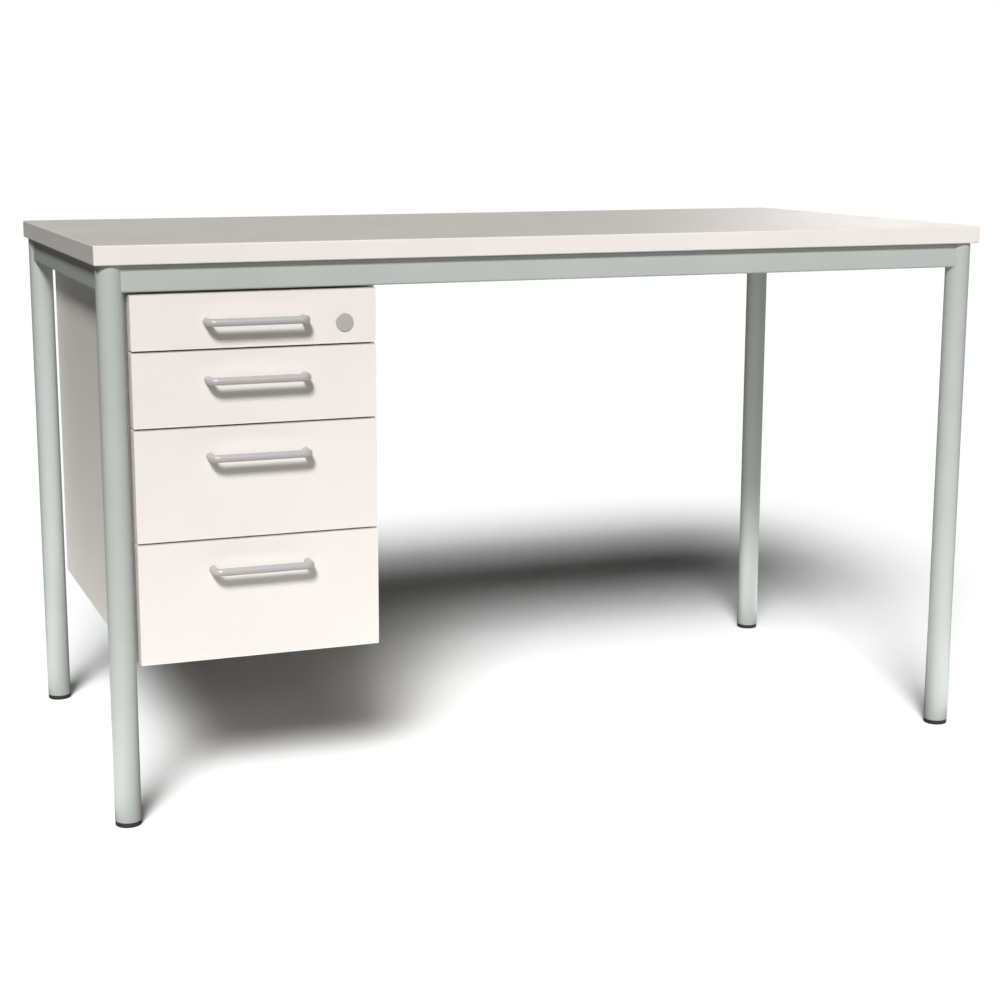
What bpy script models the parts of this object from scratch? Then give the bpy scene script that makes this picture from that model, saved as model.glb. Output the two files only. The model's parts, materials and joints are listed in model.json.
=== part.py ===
"""Teacher desk: four-legged steel frame, laminated top, and a hanging pedestal
with four drawers on steel slides, bow handles and a cam lock in the top drawer.

Units are metres, +Z is up, +X runs along the desk to the user's right and -Y
faces the user.  The floor is z = 0.  Positions below are written from the
centre of the tabletop's plan; the 'desk' empty moves that centre so that the
origin is the middle of the whole desk's footprint, handles included.
"""
import math

import bmesh
import bpy
from mathutils import Vector

# ---------------------------------------------------------------- dimensions
GAP = 0.0003                    # joint between two pieces that touch

TOP_W, TOP_D = 1.300, 0.650     # tabletop plan
TOP_Z, TOP_T = 0.765, 0.025     # upper face, board thickness
BAND_T = 0.002                  # edge band thickness
UNDER = TOP_Z - TOP_T           # underside of the tabletop

LEG_R, LEG_WALL = 0.0175, 0.0015
LEG_X, LEG_Y = 0.628, 0.303     # leg axes from the centre
GLIDE_H = 0.0063                # visible height of a glide

RAIL_H, RAIL_T, RAIL_WALL = 0.035, 0.025, 0.002
RAIL_R = 0.0025                 # corner radius of the rail tube

FACE_Y = -(LEG_Y + RAIL_T / 2)  # drawer faces stand flush with the front rail
FRONT_T = 0.019
FRONT_X0, FRONT_X1 = -0.6060, -0.2810
FRONT_TOP = 0.7020
FRONT_GAP = 0.0026
FRONT_H = (0.0712, 0.0970, 0.1470, 0.1605)
HANDLE_Z = (0.6657, 0.5907, 0.4907, 0.3407)

CASE_X0, CASE_X1 = -0.6105, -0.2765
CASE_T = 0.019
CASE_Y0, CASE_Y1 = -0.2940, 0.2780
CASE_Z0 = 0.2165
BACK_T = 0.010

BOX_W, BOX_L, BOX_T = 0.270, 0.500, 0.001
BOX_Z = ((0.6370, 0.6720), (0.5395, 0.6055), (0.3900, 0.5050), (0.2425, 0.3525))
SLIDE_H, SLIDE_L, SLIDE_T = 0.035, 0.500, 0.0012

HANDLE_X, HANDLE_PITCH = -0.4440, 0.128
HANDLE_R, HANDLE_BEND, HANDLE_OUT = 0.005, 0.008, 0.0243

LOCK_X, LOCK_Z = -0.3240, 0.6580

# half of what the handles stand proud of the tabletop's front edge
CENTRE_Y = ((HANDLE_OUT + HANDLE_R - FACE_Y) - TOP_D / 2) / 2

# ------------------------------------------------------------ scene and looks
for ob in list(bpy.data.objects):
    bpy.data.objects.remove(ob, do_unlink=True)

parts = bpy.data.collections.new("teacher_desk")
cutters = bpy.data.collections.new("cutters")
bpy.context.scene.collection.children.link(parts)
bpy.context.scene.collection.children.link(cutters)


def material(name, rgb, rough, metal=0.0):
    m = bpy.data.materials.new(name)
    m.use_nodes = True
    b = m.node_tree.nodes["Principled BSDF"]
    b.inputs["Base Color"].default_value = (*rgb, 1.0)
    b.inputs["Roughness"].default_value = rough
    b.inputs["Metallic"].default_value = metal
    m.diffuse_color = (*rgb, 1.0)
    return m


WHITE = material("melamine_white", (0.83, 0.80, 0.77), 0.45)
BAND = material("edge_band_white", (0.83, 0.80, 0.77), 0.40)
FRAME = material("powder_coat_grey", (0.58, 0.62, 0.60), 0.42)
PLASTIC = material("glide_plastic", (0.045, 0.045, 0.045), 0.6)
SILVER = material("handle_silver", (0.56, 0.55, 0.55), 0.40, 0.2)
LOCK = material("lock_nickel", (0.48, 0.47, 0.46), 0.38, 0.6)
BOXM = material("drawer_steel", (0.60, 0.61, 0.61), 0.45)
ZINC = material("zinc_steel", (0.62, 0.62, 0.63), 0.35, 1.0)


def empty(name, loc, parent=None):
    e = bpy.data.objects.new(name, None)
    e.empty_display_size = 0.05
    parts.objects.link(e)
    e.parent = parent
    e["place"] = list(loc)
    e.location = Vector(loc) - (Vector(parent["place"]) if parent else Vector())
    return e


desk = empty("desk", (0, 0, 0))
desk.location = (0, CENTRE_Y, 0)


def put(ob, loc, mat, parent=None, cutter=False):
    """Place an object by its world-like position, under its parent empty."""
    parent = parent or desk
    for c in list(ob.users_collection):
        c.objects.unlink(ob)
    (cutters if cutter else parts).objects.link(ob)
    ob.parent = parent
    ob.location = Vector(loc) - Vector(parent["place"])
    if cutter:
        ob.hide_render = True
        ob.display_type = "WIRE"
    elif mat:
        ob.data.materials.clear()
        ob.data.materials.append(mat)
    return ob


def bevel(ob, width, segments=2):
    m = ob.modifiers.new("edges", "BEVEL")
    m.width = width
    m.segments = segments
    m.limit_method = "ANGLE"
    m.angle_limit = math.radians(40)
    return ob


def cut(ob, cutter):
    m = ob.modifiers.new("cut_" + cutter.name, "BOOLEAN")
    m.operation = "DIFFERENCE"
    m.solver = "EXACT"
    m.object = cutter
    return ob


def box(name, lo, hi, mat, parent=None, cutter=False):
    lo, hi = Vector(lo), Vector(hi)
    bpy.ops.mesh.primitive_cube_add(size=1)
    ob = bpy.context.object
    ob.name = ob.data.name = name
    ob.scale = hi - lo
    bpy.ops.object.transform_apply(location=False, rotation=False, scale=True)
    return put(ob, (lo + hi) / 2, mat, parent, cutter)


TURN = {"X": (0, math.pi / 2, 0), "Y": (-math.pi / 2, 0, 0), "Z": (0, 0, 0)}


def cylinder(name, r, lo, hi, axis, mat, segments=24, parent=None, cutter=False):
    """A straight cylinder between two points that differ along one axis."""
    lo, hi = Vector(lo), Vector(hi)
    bpy.ops.mesh.primitive_cylinder_add(vertices=segments, radius=r, depth=(hi - lo).length)
    ob = bpy.context.object
    ob.name = ob.data.name = name
    ob.rotation_euler = TURN[axis]
    bpy.ops.object.transform_apply(location=False, rotation=True, scale=False)
    put(ob, (lo + hi) / 2, mat, parent, cutter)
    if not cutter:
        smooth(ob)
    return ob


def smooth(ob, angle=35):
    ob.data.shade_smooth()
    ob.data.set_sharp_from_angle(angle=math.radians(angle))


def turned(name, profile, loc, mat, steps=32, closed=False, parent=None, rot=(0, 0, 0)):
    """Spin a profile of (radius, height) pairs, given top to bottom, about local Z."""
    me = bpy.data.meshes.new(name)
    bm = bmesh.new()
    vs = [bm.verts.new((r, 0, z)) for r, z in profile]
    for a, b in zip(vs, vs[1:]):
        bm.edges.new((a, b))
    if closed:
        bm.edges.new((vs[-1], vs[0]))
    bm.to_mesh(me)
    bm.free()
    ob = bpy.data.objects.new(name, me)
    parts.objects.link(ob)
    m = ob.modifiers.new("turn", "SCREW")
    m.axis = "Z"
    m.steps = m.render_steps = steps
    m.use_merge_vertices = True
    m.merge_threshold = 0.00001
    m.use_smooth_shade = True
    put(ob, loc, mat, parent)
    ob.rotation_euler = rot
    return ob


def outline(name, points, length, loc, rot, mat, parent=None):
    """A flat closed outline, thickened by its length along local Z."""
    cu = bpy.data.curves.new(name, "CURVE")
    cu.dimensions = "2D"
    cu.fill_mode = "BOTH"
    cu.extrude = length / 2
    sp = cu.splines.new("POLY")
    sp.points.add(len(points) - 1)
    for p, (x, y) in zip(sp.points, points):
        p.co = (x, y, 0, 1)
    sp.use_cyclic_u = True
    ob = bpy.data.objects.new(name, cu)
    parts.objects.link(ob)
    put(ob, loc, mat, parent)
    ob.rotation_euler = rot
    return ob


def as_mesh(ob):
    """Turn a curve object into a welded mesh object of the same name and place."""
    bpy.context.view_layer.update()
    dg = bpy.context.evaluated_depsgraph_get()
    me = bpy.data.meshes.new_from_object(ob.evaluated_get(dg))
    bm = bmesh.new()
    bm.from_mesh(me)
    bmesh.ops.remove_doubles(bm, verts=bm.verts, dist=0.00001)
    bmesh.ops.recalc_face_normals(bm, faces=bm.faces)
    bm.to_mesh(me)
    bm.free()
    name, parent, mats = ob.name, ob.parent, list(ob.data.materials)
    loc, rot = ob.location.copy(), ob.rotation_euler.copy()
    bpy.data.objects.remove(ob, do_unlink=True)
    new = bpy.data.objects.new(name, me)
    new.name = name
    parts.objects.link(new)
    new.parent, new.location, new.rotation_euler = parent, loc, rot
    me.materials.clear()
    for m in mats:
        me.materials.append(m)
    return new


# ------------------------------------------------------------------ tabletop
# Chipboard panel with a laminated face, and the plastic band round its edge.
panel = box("tabletop",
            (-TOP_W / 2 + BAND_T + GAP, -TOP_D / 2 + BAND_T + GAP, UNDER),
            (TOP_W / 2 - BAND_T - GAP, TOP_D / 2 - BAND_T - GAP, TOP_Z), WHITE)
band = box("edge_band", (-TOP_W / 2, -TOP_D / 2, UNDER), (TOP_W / 2, TOP_D / 2, TOP_Z), BAND)
bevel(band, 0.0012, 2)
cut(band, box("band_core", (-TOP_W / 2 + BAND_T, -TOP_D / 2 + BAND_T, UNDER - 0.01),
              (TOP_W / 2 - BAND_T, TOP_D / 2 - BAND_T, TOP_Z + 0.01), None, cutter=True))

# ----------------------------------------------------------- legs and glides
CORNERS = {"front_left": (-1, -1), "front_right": (1, -1),
           "back_left": (-1, 1), "back_right": (1, 1)}
LEG_Z0, LEG_Z1 = GLIDE_H + GAP, UNDER - GAP
bore = LEG_R - LEG_WALL
for side, (sx, sy) in CORNERS.items():
    x, y = sx * LEG_X, sy * LEG_Y
    turned("leg_" + side,
           [(LEG_R, LEG_Z1), (LEG_R, LEG_Z0), (bore, LEG_Z0), (bore, LEG_Z1)],
           (x, y, 0), FRAME, steps=40, closed=True)
    # glide: a flat foot as wide as the leg, and a stem pushed up the tube
    stem = bore - 0.0005
    turned("glide_" + side,
           [(0, 0.028), (stem - 0.001, 0.028), (stem, 0.026), (stem, GLIDE_H),
            (LEG_R - 0.0002, GLIDE_H), (LEG_R - 0.0002, 0.0016), (LEG_R - 0.0018, 0),
            (0, 0)],
           (x, y, 0), PLASTIC, steps=28)

# --------------------------------------------------------------------- rails
# Rectangular steel tube between the legs, its ends shaped to the round legs.
RAIL_Z0 = UNDER - RAIL_H
leg_cut = {}
for side, (sx, sy) in CORNERS.items():
    leg_cut[side] = cylinder("saddle_" + side, LEG_R + GAP,
                             (sx * LEG_X, sy * LEG_Y, RAIL_Z0 - 0.01),
                             (sx * LEG_X, sy * LEG_Y, UNDER + 0.01), "Z", None,
                             segments=48, cutter=True)


def rail(name, axis, at, ends):
    half, t = (LEG_X, RAIL_T / 2) if axis == "X" else (LEG_Y, RAIL_T / 2)
    reach = half - 0.010
    def corner(s, along, across, z):
        return (s * along, at + s * across, z) if axis == "X" else (at + s * across, s * along, z)
    ob = box(name, corner(-1, reach, t, RAIL_Z0), corner(1, reach, t, UNDER - GAP), FRAME)
    # round only the four long edges: weight them before the tube is hollowed
    m = ob.modifiers.new("corners", "BEVEL")
    m.width, m.segments, m.limit_method = RAIL_R, 3, "WEIGHT"
    w = ob.data.attributes.new("bevel_weight_edge", "FLOAT", "EDGE")
    k = 0 if axis == "X" else 1
    for e in ob.data.edges:
        a, b = (ob.data.vertices[i].co for i in e.vertices)
        w.data[e.index].value = 1.0 if abs(a[k] - b[k]) > 0.1 else 0.0
    wall = RAIL_WALL
    cut(ob, box(name + "_bore", corner(-1, half + 0.02, t - wall, RAIL_Z0 + wall),
                corner(1, half + 0.02, t - wall, UNDER - GAP - wall), None, cutter=True))
    for e in ends:
        cut(ob, leg_cut[e])
    return ob


rails = {
    "front": rail("rail_front", "X", -LEG_Y, ("front_left", "front_right")),
    "back": rail("rail_back", "X", LEG_Y, ("back_left", "back_right")),
    "left": rail("rail_left", "Y", -LEG_X, ("front_left", "back_left")),
    "right": rail("rail_right", "Y", LEG_X, ("front_right", "back_right")),
}

# -------------------------------------------------- screws into the tabletop
HEAD_R, HEAD_H, SHANK_R, BITE = 0.0046, 0.0026, 0.0024, 0.012


def wood_screw(name, x, y, seat):
    """Pan-head screw driven upwards: its head sits under the face at height seat."""
    tip, s = UNDER + BITE, seat - GAP
    turned(name,
           [(0, tip), (SHANK_R * 0.6, tip - 0.001), (SHANK_R, tip - 0.004), (SHANK_R, s),
            (HEAD_R, s), (HEAD_R, s - HEAD_H * 0.6), (HEAD_R * 0.7, s - HEAD_H),
            (0, s - HEAD_H)],
           (x, y, 0), ZINC, steps=12)
    hole = cylinder(name + "_hole", SHANK_R + GAP * 1.5, (x, y, seat - 0.006),
                    (x, y, tip + 0.0004), "Z", None, segments=12, cutter=True)
    cut(panel, hole)
    return hole


for row, sy in (("front", -1), ("back", 1)):
    for col, sx in (("left", -1), ("right", 1)):
        x, y = sx * 0.400, sy * LEG_Y
        hole = wood_screw("top_screw_%s_%s" % (row, col), x, y, UNDER - GAP - RAIL_WALL)
        cut(rails[row], hole)
        # wider access hole in the rail's lower wall for the screwdriver
        cut(rails[row], cylinder("access_%s_%s" % (row, col), 0.006, (x, y, RAIL_Z0 - 0.005),
                                 (x, y, RAIL_Z0 + 0.010), "Z", None, segments=16, cutter=True))

# ------------------------------------------------------------ pedestal case
CASE_TOP = UNDER - GAP
NOTCH_Z = RAIL_Z0 - 0.0005                      # the sides step back behind the front rail
NOTCH_Y = -(LEG_Y - RAIL_T / 2) + 0.0005
SIDE_OUT = [(CASE_Y0, CASE_Z0), (CASE_Y1, CASE_Z0), (CASE_Y1, CASE_TOP),
            (NOTCH_Y, CASE_TOP), (NOTCH_Y, NOTCH_Z), (CASE_Y0, NOTCH_Z)]
UPRIGHT = (math.pi / 2, 0, math.pi / 2)         # outline (y, z), thickness along X
outline("case_side_left", SIDE_OUT, CASE_T, (CASE_X0 + CASE_T / 2, 0, 0), UPRIGHT, WHITE)
outline("case_side_right", SIDE_OUT, CASE_T, (CASE_X1 - CASE_T / 2, 0, 0), UPRIGHT, WHITE)

IN_X0, IN_X1 = CASE_X0 + CASE_T, CASE_X1 - CASE_T   # inner faces of the sides
BACK_Y0 = CASE_Y1 - BACK_T
box("case_back", (IN_X0 + GAP, BACK_Y0, CASE_Z0), (IN_X1 - GAP, CASE_Y1, CASE_TOP), WHITE)
box("case_bottom", (IN_X0 + GAP, CASE_Y0, CASE_Z0),
    (IN_X1 - GAP, BACK_Y0 - GAP, CASE_Z0 + CASE_T), WHITE)
lid = box("case_top", (IN_X0 + GAP, NOTCH_Y, CASE_TOP - CASE_T),
          (IN_X1 - GAP, BACK_Y0 - GAP, CASE_TOP), WHITE)
for row, y in (("front", -0.200), ("back", 0.190)):
    for col, x in (("left", -0.545), ("right", -0.342)):
        cut(lid, wood_screw("case_screw_%s_%s" % (row, col), x, y, CASE_TOP - CASE_T))

# folded steel angle across the front: ties the sides and stops the lock's cam
STRIKE_Z0, STRIKE_Z1, STRIKE_T = 0.6770, 0.7027, 0.0015
ys = CASE_Y0 + 0.0002
outline("lock_strike_rail",
        [(ys, STRIKE_Z0), (ys + STRIKE_T, STRIKE_Z0), (ys + STRIKE_T, STRIKE_Z1 - STRIKE_T),
         (ys + 0.025, STRIKE_Z1 - STRIKE_T), (ys + 0.025, STRIKE_Z1), (ys, STRIKE_Z1)],
        IN_X1 - IN_X0 - 2 * GAP, ((IN_X0 + IN_X1) / 2, 0, 0), UPRIGHT, BOXM)

# ----------------------------------------------------------------- drawers
BOX_X0 = (IN_X0 + IN_X1) / 2 - BOX_W / 2
BOX_X1 = BOX_X0 + BOX_W
BOX_Y0 = FACE_Y + FRONT_T + GAP
SLIDE_Y0 = CASE_Y0 + 0.004


def channel(depth, half, wall, lip):
    """C section, open towards +X: back wall, two flanges, and short lips."""
    pts = [(0, -half), (depth, -half)]
    if lip:
        pts += [(depth, -half + lip), (depth - wall, -half + lip), (depth - wall, -half + wall)]
    else:
        pts += [(depth, -half + wall)]
    pts += [(wall, -half + wall)]
    return pts + [(x, -z) for x, z in reversed(pts)]


FLAT_Y = (math.pi / 2, 0, 0)                    # outline (x, z), thickness along Y


def slide_pair(n, z, body):
    """Fixed member on the case side, moving member on the drawer box."""
    y = SLIDE_Y0 + SLIDE_L / 2
    outer = channel(0.0090, SLIDE_H / 2, SLIDE_T, 0.0030)
    inner = channel(0.0085, 0.0110, SLIDE_T, 0)
    for side, s, wall_x, box_x in (("left", 1, IN_X0 + GAP, BOX_X0 - GAP),
                                   ("right", -1, IN_X1 - GAP, BOX_X1 + GAP)):
        outline("slide_%d_%s_fixed" % (n, side), [(s * a, b) for a, b in outer], SLIDE_L,
                (wall_x, y, z), FLAT_Y, ZINC)
        outline("slide_%d_%s_moving" % (n, side), [(-s * a, b) for a, b in inner], SLIDE_L,
                (box_x, y, z), FLAT_Y, ZINC, parent=body)


def bow_handle(n, z, body):
    """Round bar bent to a bow; its two ends stand on the drawer front."""
    x0, x1 = HANDLE_X - HANDLE_PITCH / 2, HANDLE_X + HANDLE_PITCH / 2
    y0, y1, b = FACE_Y - GAP, FACE_Y - HANDLE_OUT, HANDLE_BEND
    pts = [(x0, y0)]
    for i in range(7):
        a = i / 6 * math.pi / 2
        pts.append((x0 + b - b * math.cos(a), y1 + b - b * math.sin(a)))
    for i in range(7):
        a = i / 6 * math.pi / 2
        pts.append((x1 - b + b * math.sin(a), y1 + b - b * math.cos(a)))
    pts.append((x1, y0))
    cu = bpy.data.curves.new("handle", "CURVE")
    cu.dimensions = "3D"
    cu.bevel_depth = HANDLE_R
    cu.bevel_resolution = 3
    cu.use_fill_caps = True
    sp = cu.splines.new("POLY")
    sp.points.add(len(pts) - 1)
    for p, (x, y) in zip(sp.points, pts):
        p.co = (x - HANDLE_X, y - FACE_Y, 0, 1)
    ob = bpy.data.objects.new("drawer_%d_handle" % n, cu)
    parts.objects.link(ob)
    put(ob, (HANDLE_X, FACE_Y, z), SILVER, body)
    ob = as_mesh(ob)
    smooth(ob, 50)


def drawer(n, z1, height, handle_z, box_z):
    z0 = z1 - height
    body = empty("drawer_%d" % n, (HANDLE_X, FACE_Y, (z0 + z1) / 2), desk)
    front = box("drawer_%d_front" % n, (FRONT_X0, FACE_Y, z0), (FRONT_X1, FACE_Y + FRONT_T, z1),
                WHITE, body)
    bevel(front, 0.0008, 1)
    # box: one folded and welded steel tray, open at the top
    tray = box("drawer_%d_box" % n, (BOX_X0, BOX_Y0, box_z[0]),
               (BOX_X1, BOX_Y0 + BOX_L, box_z[1]), BOXM, body)
    bm = bmesh.new()
    bm.from_mesh(tray.data)
    top = [f for f in bm.faces if f.normal.z > 0.9]
    bmesh.ops.delete(bm, geom=top, context="FACES_ONLY")
    bm.to_mesh(tray.data)
    bm.free()
    bevel(tray, 0.003, 2)
    m = tray.modifiers.new("sheet", "SOLIDIFY")
    m.thickness, m.offset, m.use_even_offset = BOX_T, -1, True
    bow_handle(n, handle_z, body)
    slide_pair(n, box_z[0] + SLIDE_H / 2, body)
    return body, front, tray


z = FRONT_TOP
made = []
for i in range(4):
    made.append(drawer(i + 1, z, FRONT_H[i], HANDLE_Z[i], BOX_Z[i]))
    z -= FRONT_H[i] + FRONT_GAP

# -------------------------------------------------------------------- lock
# Cam lock through the top drawer's front: housing with a round flange, plug
# with a keyway, cam on the plug's inner end, and the nut that holds it.
body1, front1, tray1 = made[0]
FLANGE_R, BARREL_R, NUT_T = 0.0120, 0.0092, 0.0030
BORE_R, PLUG_R = 0.0060, 0.00585
Y_FLANGE0, Y_FLANGE1 = FACE_Y - GAP - 0.0016, FACE_Y - GAP
Y_BARREL = BOX_Y0 + BOX_T + GAP + NUT_T + 0.0012


def lock_at(y):
    return (LOCK_X, y, LOCK_Z)


through = cylinder("lock_hole", BARREL_R + GAP, lock_at(FACE_Y - 0.01), lock_at(BOX_Y0 + 0.02),
                   "Y", None, segments=32, parent=body1, cutter=True)
cut(front1, through)
cut(tray1, through)
# turned about local Z, which points along -Y (out of the front)
length = Y_BARREL - Y_FLANGE0
turned("lock_housing",
       [(BORE_R, 0), (FLANGE_R - 0.0006, 0), (FLANGE_R, -0.0006),
        (FLANGE_R, -(Y_FLANGE1 - Y_FLANGE0)), (BARREL_R, -(Y_FLANGE1 - Y_FLANGE0)),
        (BARREL_R, -length), (BORE_R, -length)],
       lock_at(Y_FLANGE0), LOCK, steps=40, closed=True, parent=body1, rot=(math.pi / 2, 0, 0))
plug = cylinder("lock_plug", PLUG_R, lock_at(Y_FLANGE0), lock_at(Y_BARREL), "Y", LOCK,
                segments=40, parent=body1)
cut(plug, box("keyway", (LOCK_X - 0.0005, Y_FLANGE0 - 0.002, LOCK_Z - 0.0030),
              (LOCK_X + 0.0005, Y_FLANGE0 + 0.010, LOCK_Z + 0.0030), None, body1, cutter=True))
nut = cylinder("lock_nut", 0.011 / math.cos(math.pi / 6), lock_at(BOX_Y0 + BOX_T + GAP),
               lock_at(BOX_Y0 + BOX_T + GAP + NUT_T), "Y", ZINC, segments=6, parent=body1)
cut(nut, cylinder("nut_thread", BARREL_R + GAP, lock_at(BOX_Y0 - 0.01), lock_at(BOX_Y0 + 0.02),
                  "Y", None, segments=32, parent=body1, cutter=True))
# cam: points towards -X when unlocked, turns up behind the strike rail
cam_pts = []
for i in range(9):
    a = -math.pi / 2 + i / 8 * math.pi
    cam_pts.append((0.0080 * math.cos(a), 0.0080 * math.sin(a)))
for i in range(7):
    a = math.pi / 2 + i / 6 * math.pi
    cam_pts.append((-0.0205 + 0.0055 * math.cos(a), 0.0055 * math.sin(a)))
outline("lock_cam", cam_pts, 0.0020, lock_at(Y_BARREL + GAP + 0.0010), FLAT_Y, ZINC, body1)
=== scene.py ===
import json
import math

import bmesh
import bpy
from mathutils import Matrix, Vector

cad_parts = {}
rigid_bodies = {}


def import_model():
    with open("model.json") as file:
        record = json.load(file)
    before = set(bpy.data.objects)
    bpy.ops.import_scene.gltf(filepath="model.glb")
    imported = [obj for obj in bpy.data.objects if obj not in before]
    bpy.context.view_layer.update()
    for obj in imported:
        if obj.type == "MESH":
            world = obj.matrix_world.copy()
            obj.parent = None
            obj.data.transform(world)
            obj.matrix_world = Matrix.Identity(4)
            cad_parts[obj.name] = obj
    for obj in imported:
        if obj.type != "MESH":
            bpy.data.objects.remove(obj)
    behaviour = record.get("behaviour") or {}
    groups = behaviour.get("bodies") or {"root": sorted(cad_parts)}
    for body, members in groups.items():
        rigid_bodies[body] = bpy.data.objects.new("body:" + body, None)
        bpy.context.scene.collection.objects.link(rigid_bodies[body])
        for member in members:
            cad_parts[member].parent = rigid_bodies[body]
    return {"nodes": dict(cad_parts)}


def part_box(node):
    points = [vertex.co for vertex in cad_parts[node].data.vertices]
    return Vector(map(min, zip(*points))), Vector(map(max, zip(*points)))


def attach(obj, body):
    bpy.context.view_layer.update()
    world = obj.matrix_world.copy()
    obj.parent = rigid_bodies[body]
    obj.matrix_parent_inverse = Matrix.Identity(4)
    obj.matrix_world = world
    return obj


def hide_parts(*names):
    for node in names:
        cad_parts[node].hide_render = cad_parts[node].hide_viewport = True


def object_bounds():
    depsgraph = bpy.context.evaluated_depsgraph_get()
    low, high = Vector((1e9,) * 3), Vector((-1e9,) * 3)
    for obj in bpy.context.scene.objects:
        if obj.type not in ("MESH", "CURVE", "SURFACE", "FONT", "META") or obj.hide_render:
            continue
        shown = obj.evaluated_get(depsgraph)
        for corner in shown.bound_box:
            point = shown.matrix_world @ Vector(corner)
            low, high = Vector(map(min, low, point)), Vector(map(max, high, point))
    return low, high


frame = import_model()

CAD_BOX = [list(v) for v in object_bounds()]
scene = bpy.context.scene

# ------------------------------------------------------------------ helpers


def B(node):
    lo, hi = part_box(node)
    return Vector(lo), Vector(hi)


def finish_mesh(name, bm, mat, body, node=None, angle=40, weighted=True, recalc=True):
    """A bmesh in row-frame metres becomes a piece that rides on a body."""
    if recalc:
        bmesh.ops.recalc_face_normals(bm, faces=bm.faces)
    me = bpy.data.meshes.new(name)
    bm.to_mesh(me)
    bm.free()
    me.shade_smooth()
    me.set_sharp_from_angle(angle=math.radians(angle))
    me.materials.append(mat)
    ob = bpy.data.objects.new(name, me)
    scene.collection.objects.link(ob)
    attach(ob, body)
    if node:
        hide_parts(node)
    if weighted:
        m = ob.modifiers.new("weighted", "WEIGHTED_NORMAL")
        m.keep_sharp = True
        m.weight = 80
    return ob


def to_bm(ob_or_me):
    bm = bmesh.new()
    bm.from_mesh(ob_or_me)
    return bm


def boolean(bm, tools, operation="DIFFERENCE"):
    """Cut several closed bmeshes out of another, with Blender's exact solver."""
    tmp = []

    def temp(b):
        bmesh.ops.recalc_face_normals(b, faces=b.faces)
        me = bpy.data.meshes.new("tmp")
        b.to_mesh(me)
        b.free()
        ob = bpy.data.objects.new("tmp", me)
        scene.collection.objects.link(ob)
        tmp.append(ob)
        return ob

    base = temp(bm)
    for t in tools:
        tool = temp(t)
        m = base.modifiers.new("cut", "BOOLEAN")
        m.operation, m.solver, m.object = operation, "EXACT", tool
    bpy.context.view_layer.update()
    me = bpy.data.meshes.new_from_object(base.evaluated_get(bpy.context.evaluated_depsgraph_get()))
    out = to_bm(me)
    bpy.data.meshes.remove(me)
    for ob in tmp:
        me = ob.data
        bpy.data.objects.remove(ob, do_unlink=True)
        bpy.data.meshes.remove(me)
    bmesh.ops.remove_doubles(out, verts=out.verts, dist=1e-7)
    return out


def rbox(lo, hi, r=0.0004, seg=2):
    """A box with every edge rounded."""
    lo, hi = Vector(lo), Vector(hi)
    bm = bmesh.new()
    bmesh.ops.create_cube(bm, size=1.0)
    for v in bm.verts:
        v.co = Vector([(a + b) / 2 + c * (b - a) for a, b, c in zip(lo, hi, v.co)])
    if r:
        bmesh.ops.bevel(bm, geom=bm.edges[:], offset=r, segments=seg, profile=0.5,
                        affect="EDGES", clamp_overlap=True)
    return bm


def lathe(profile, centre, axis="Z", seg=64, closed=False):
    """Turn (radius, height) pairs about an axis through centre; radius 0 closes an end."""
    bm = bmesh.new()
    c = Vector(centre)
    rings = []
    for r, h in profile:
        if r < 1e-7:
            ring = [(0.0, 0.0, h)]
        else:
            ring = [(r * math.cos(2 * math.pi * i / seg), r * math.sin(2 * math.pi * i / seg), h)
                    for i in range(seg)]
        vs = []
        for x, y, z in ring:
            if axis == "Z":
                p = Vector((x, y, z))
            elif axis == "Y":               # height runs along -Y, out of the front
                p = Vector((x, -z, y))
            else:
                p = Vector((z, x, y))
            vs.append(bm.verts.new(c + p))
        rings.append(vs)
    pairs = list(zip(rings, rings[1:]))
    if closed:
        pairs.append((rings[-1], rings[0]))
    for a, b in pairs:
        n = max(len(a), len(b))
        for i in range(n):
            j = (i + 1) % n
            f = [a[i % len(a)], a[j % len(a)], b[j % len(b)], b[i % len(b)]]
            f = list(dict.fromkeys(f))
            if len(f) > 2:
                bm.faces.new(f)
    return bm


def arc(cx, cy, r, a0, a1, n):
    return [(cx + r * math.cos(math.radians(a0 + (a1 - a0) * i / n)),
             cy + r * math.sin(math.radians(a0 + (a1 - a0) * i / n))) for i in range(n + 1)]


def fillet(pts, radii, n=5):
    """Round the corners of a closed 2-D outline."""
    out, k = [], len(pts)
    if not isinstance(radii, (list, tuple)):
        radii = [radii] * k
    for i in range(k):
        p, a, b = Vector(pts[i]), Vector(pts[i - 1]), Vector(pts[(i + 1) % k])
        r = radii[i]
        u, v = (a - p).normalized(), (b - p).normalized()
        half = math.acos(max(-1, min(1, u.dot(v)))) / 2
        if r <= 0 or abs(half - math.pi / 2) < 1e-4:
            out.append(tuple(p))
            continue
        d = r / math.tan(half)
        c = p + (u + v).normalized() * (r / math.sin(half))
        s, e = p + u * d - c, p + v * d - c
        a0, a1 = math.atan2(s.y, s.x), math.atan2(e.y, e.x)
        while a1 - a0 > math.pi:
            a1 -= 2 * math.pi
        while a1 - a0 < -math.pi:
            a1 += 2 * math.pi
        for j in range(n + 1):
            t = a0 + (a1 - a0) * j / n
            out.append((c.x + r * math.cos(t), c.y + r * math.sin(t)))
    return out


def place(plane, a, b, w):
    """A 2-D point and its height above the plane, as a row-frame point."""
    if plane == "XY":
        return Vector((a, b, w))
    if plane == "XZ":
        return Vector((a, w, b))
    return Vector((w, a, b))        # YZ


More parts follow.
